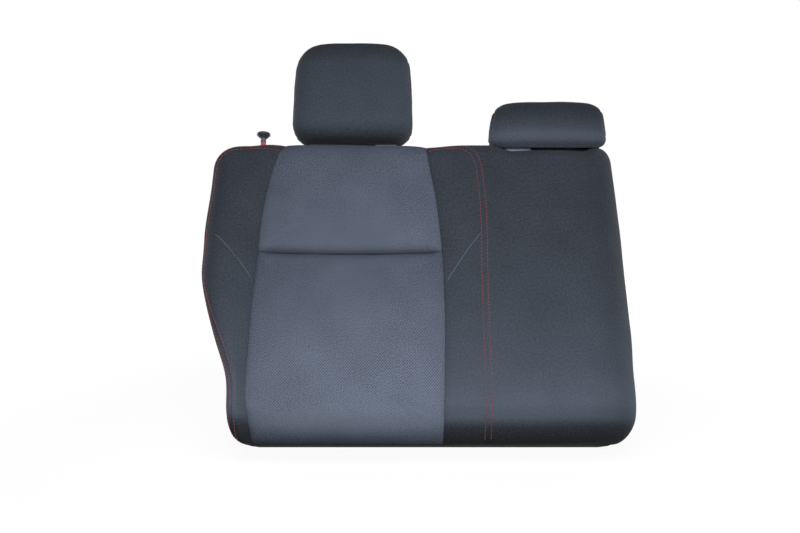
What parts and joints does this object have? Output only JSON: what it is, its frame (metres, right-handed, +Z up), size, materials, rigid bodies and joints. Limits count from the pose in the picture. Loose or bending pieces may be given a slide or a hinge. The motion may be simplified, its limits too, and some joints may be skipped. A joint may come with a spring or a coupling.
{
  "type": "folding rear seat backrest section",
  "caption": "Wide section of a split-folding rear seat backrest with padded two-tone cloth trim, a tall outboard and a low centre head restraint, and a release knob on the outboard shoulder.",
  "frame": {"origin": "centre of the four floor-bolt holes, on the plane the bracket feet stand on", "axes": "+X along the width towards the narrower seat section, +Y to the rear of the vehicle, +Z up, normal to the mounting plane"},
  "size_m": [0.8, 0.4143, 0.7762],
  "materials": {
    "dark_cloth": "fine matt weave",
    "patterned_cloth": "woven with a small lozenge and twill pattern",
    "foam": "moulded foam",
    "carpet": "needled felt",
    "grey_plastic": "satin",
    "dark_plastic": "satin",
    "red_plastic": "glossy",
    "bright_steel": "plated",
    "zinc_steel": "zinc plated",
    "black_steel": "black paint"
  },
  "bodies": {
    "floor_mounts": {"outboard_floor_bracket": "black_steel", "centre_floor_bracket": "black_steel", "pivot_shoulder_bolts": "zinc_steel", "pivot_nuts": "zinc_steel"},
    "backrest": {"pivot_washers": "dark_plastic", "pivot_bushes": "dark_plastic", "outboard_hinge_ear": "black_steel", "centre_hinge_ear": "black_steel", "frame_hoop": "black_steel", "frame_lower_tube": "black_steel", "frame_upright_tube": "black_steel", "frame_cross_tube": "black_steel", "headrest_guide_tubes": "black_steel", "steel_back_panel": "black_steel", "rear_carpet_panel": "carpet", "panel_clips": "dark_plastic", "foam_pad": "foam", "cover_outboard_bolster": "dark_cloth", "cover_inner_bolster": "dark_cloth", "cover_centre_panel": "dark_cloth", "cover_top_border": "dark_cloth", "cover_bottom_border": "dark_cloth", "cover_insert_upper": "patterned_cloth", "cover_insert_lower": "patterned_cloth", "plain_guide_sleeves": "grey_plastic", "locking_guide_sleeves": "grey_plastic", "knob_grommet": "dark_plastic", "latch_housing": "zinc_steel", "latch_bracket": "black_steel", "latch_pins": "zinc_steel", "latch_screws": "zinc_steel", "latch_springs": "zinc_steel", "striker_bezel": "dark_plastic"},
    "outboard_headrest": {"outboard_headrest_posts": "bright_steel", "outboard_headrest_core": "dark_plastic", "outboard_headrest_foam": "foam", "outboard_headrest_cover": "dark_cloth"},
    "centre_headrest": {"centre_headrest_posts": "bright_steel", "centre_headrest_core": "dark_plastic", "centre_headrest_foam": "foam", "centre_headrest_cover": "dark_cloth"},
    "outboard_lock": {"outboard_lock_button": "grey_plastic"},
    "centre_lock": {"centre_lock_button": "grey_plastic"},
    "release": {"release_knob": "grey_plastic", "release_rod": "zinc_steel", "unlocked_band": "red_plastic"},
    "pawl": {"latch_pawl": "zinc_steel"},
    "claw": {"latch_claw": "zinc_steel"}
  },
  "joints": [
    {"name": "fold", "type": "hinge", "parent": "floor_mounts", "child": "backrest", "pos_m": [0, -0.08, 0.052], "axis": [1, 0, 0], "range_deg": [0, 100]},
    {"name": "outboard_headrest_slide", "type": "slide", "parent": "backrest", "child": "outboard_headrest", "axis": [0, 0.4067, 0.9135], "range_m": [0, 0.065]},
    {"name": "centre_headrest_slide", "type": "slide", "parent": "backrest", "child": "centre_headrest", "axis": [0, 0.4067, 0.9135], "range_m": [0, 0.06]},
    {"name": "outboard_lock_press", "type": "slide", "parent": "backrest", "child": "outboard_lock", "axis": [-1, 0, 0], "range_m": [0, 0.003], "stiffness_N_per_m": 400, "springref_m": -0.003},
    {"name": "centre_lock_press", "type": "slide", "parent": "backrest", "child": "centre_lock", "axis": [1, 0, 0], "range_m": [0, 0.003], "stiffness_N_per_m": 400, "springref_m": -0.003},
    {"name": "release_push", "type": "slide", "parent": "backrest", "child": "release", "axis": [0, 0.4067, 0.9135], "range_m": [-0.01, 0], "stiffness_N_per_m": 250, "springref_m": 0.01},
    {"name": "pawl_turn", "type": "hinge", "parent": "backrest", "child": "pawl", "pos_m": [-0.298, 0.07757, 0.5018], "axis": [1, 0, 0], "range_deg": [0, 34.1]},
    {"name": "claw_turn", "type": "hinge", "parent": "backrest", "child": "claw", "pos_m": [-0.298, 0.05958, 0.46383], "axis": [1, 0, 0], "range_deg": [0, 50.1]}
  ],
  "couplings": [
    {"joint": "pawl_turn", "follows": "release_push", "rad_per_m": -59.341},
    {"joint": "claw_turn", "follows": "release_push", "rad_per_m": -87.266}
  ]
}
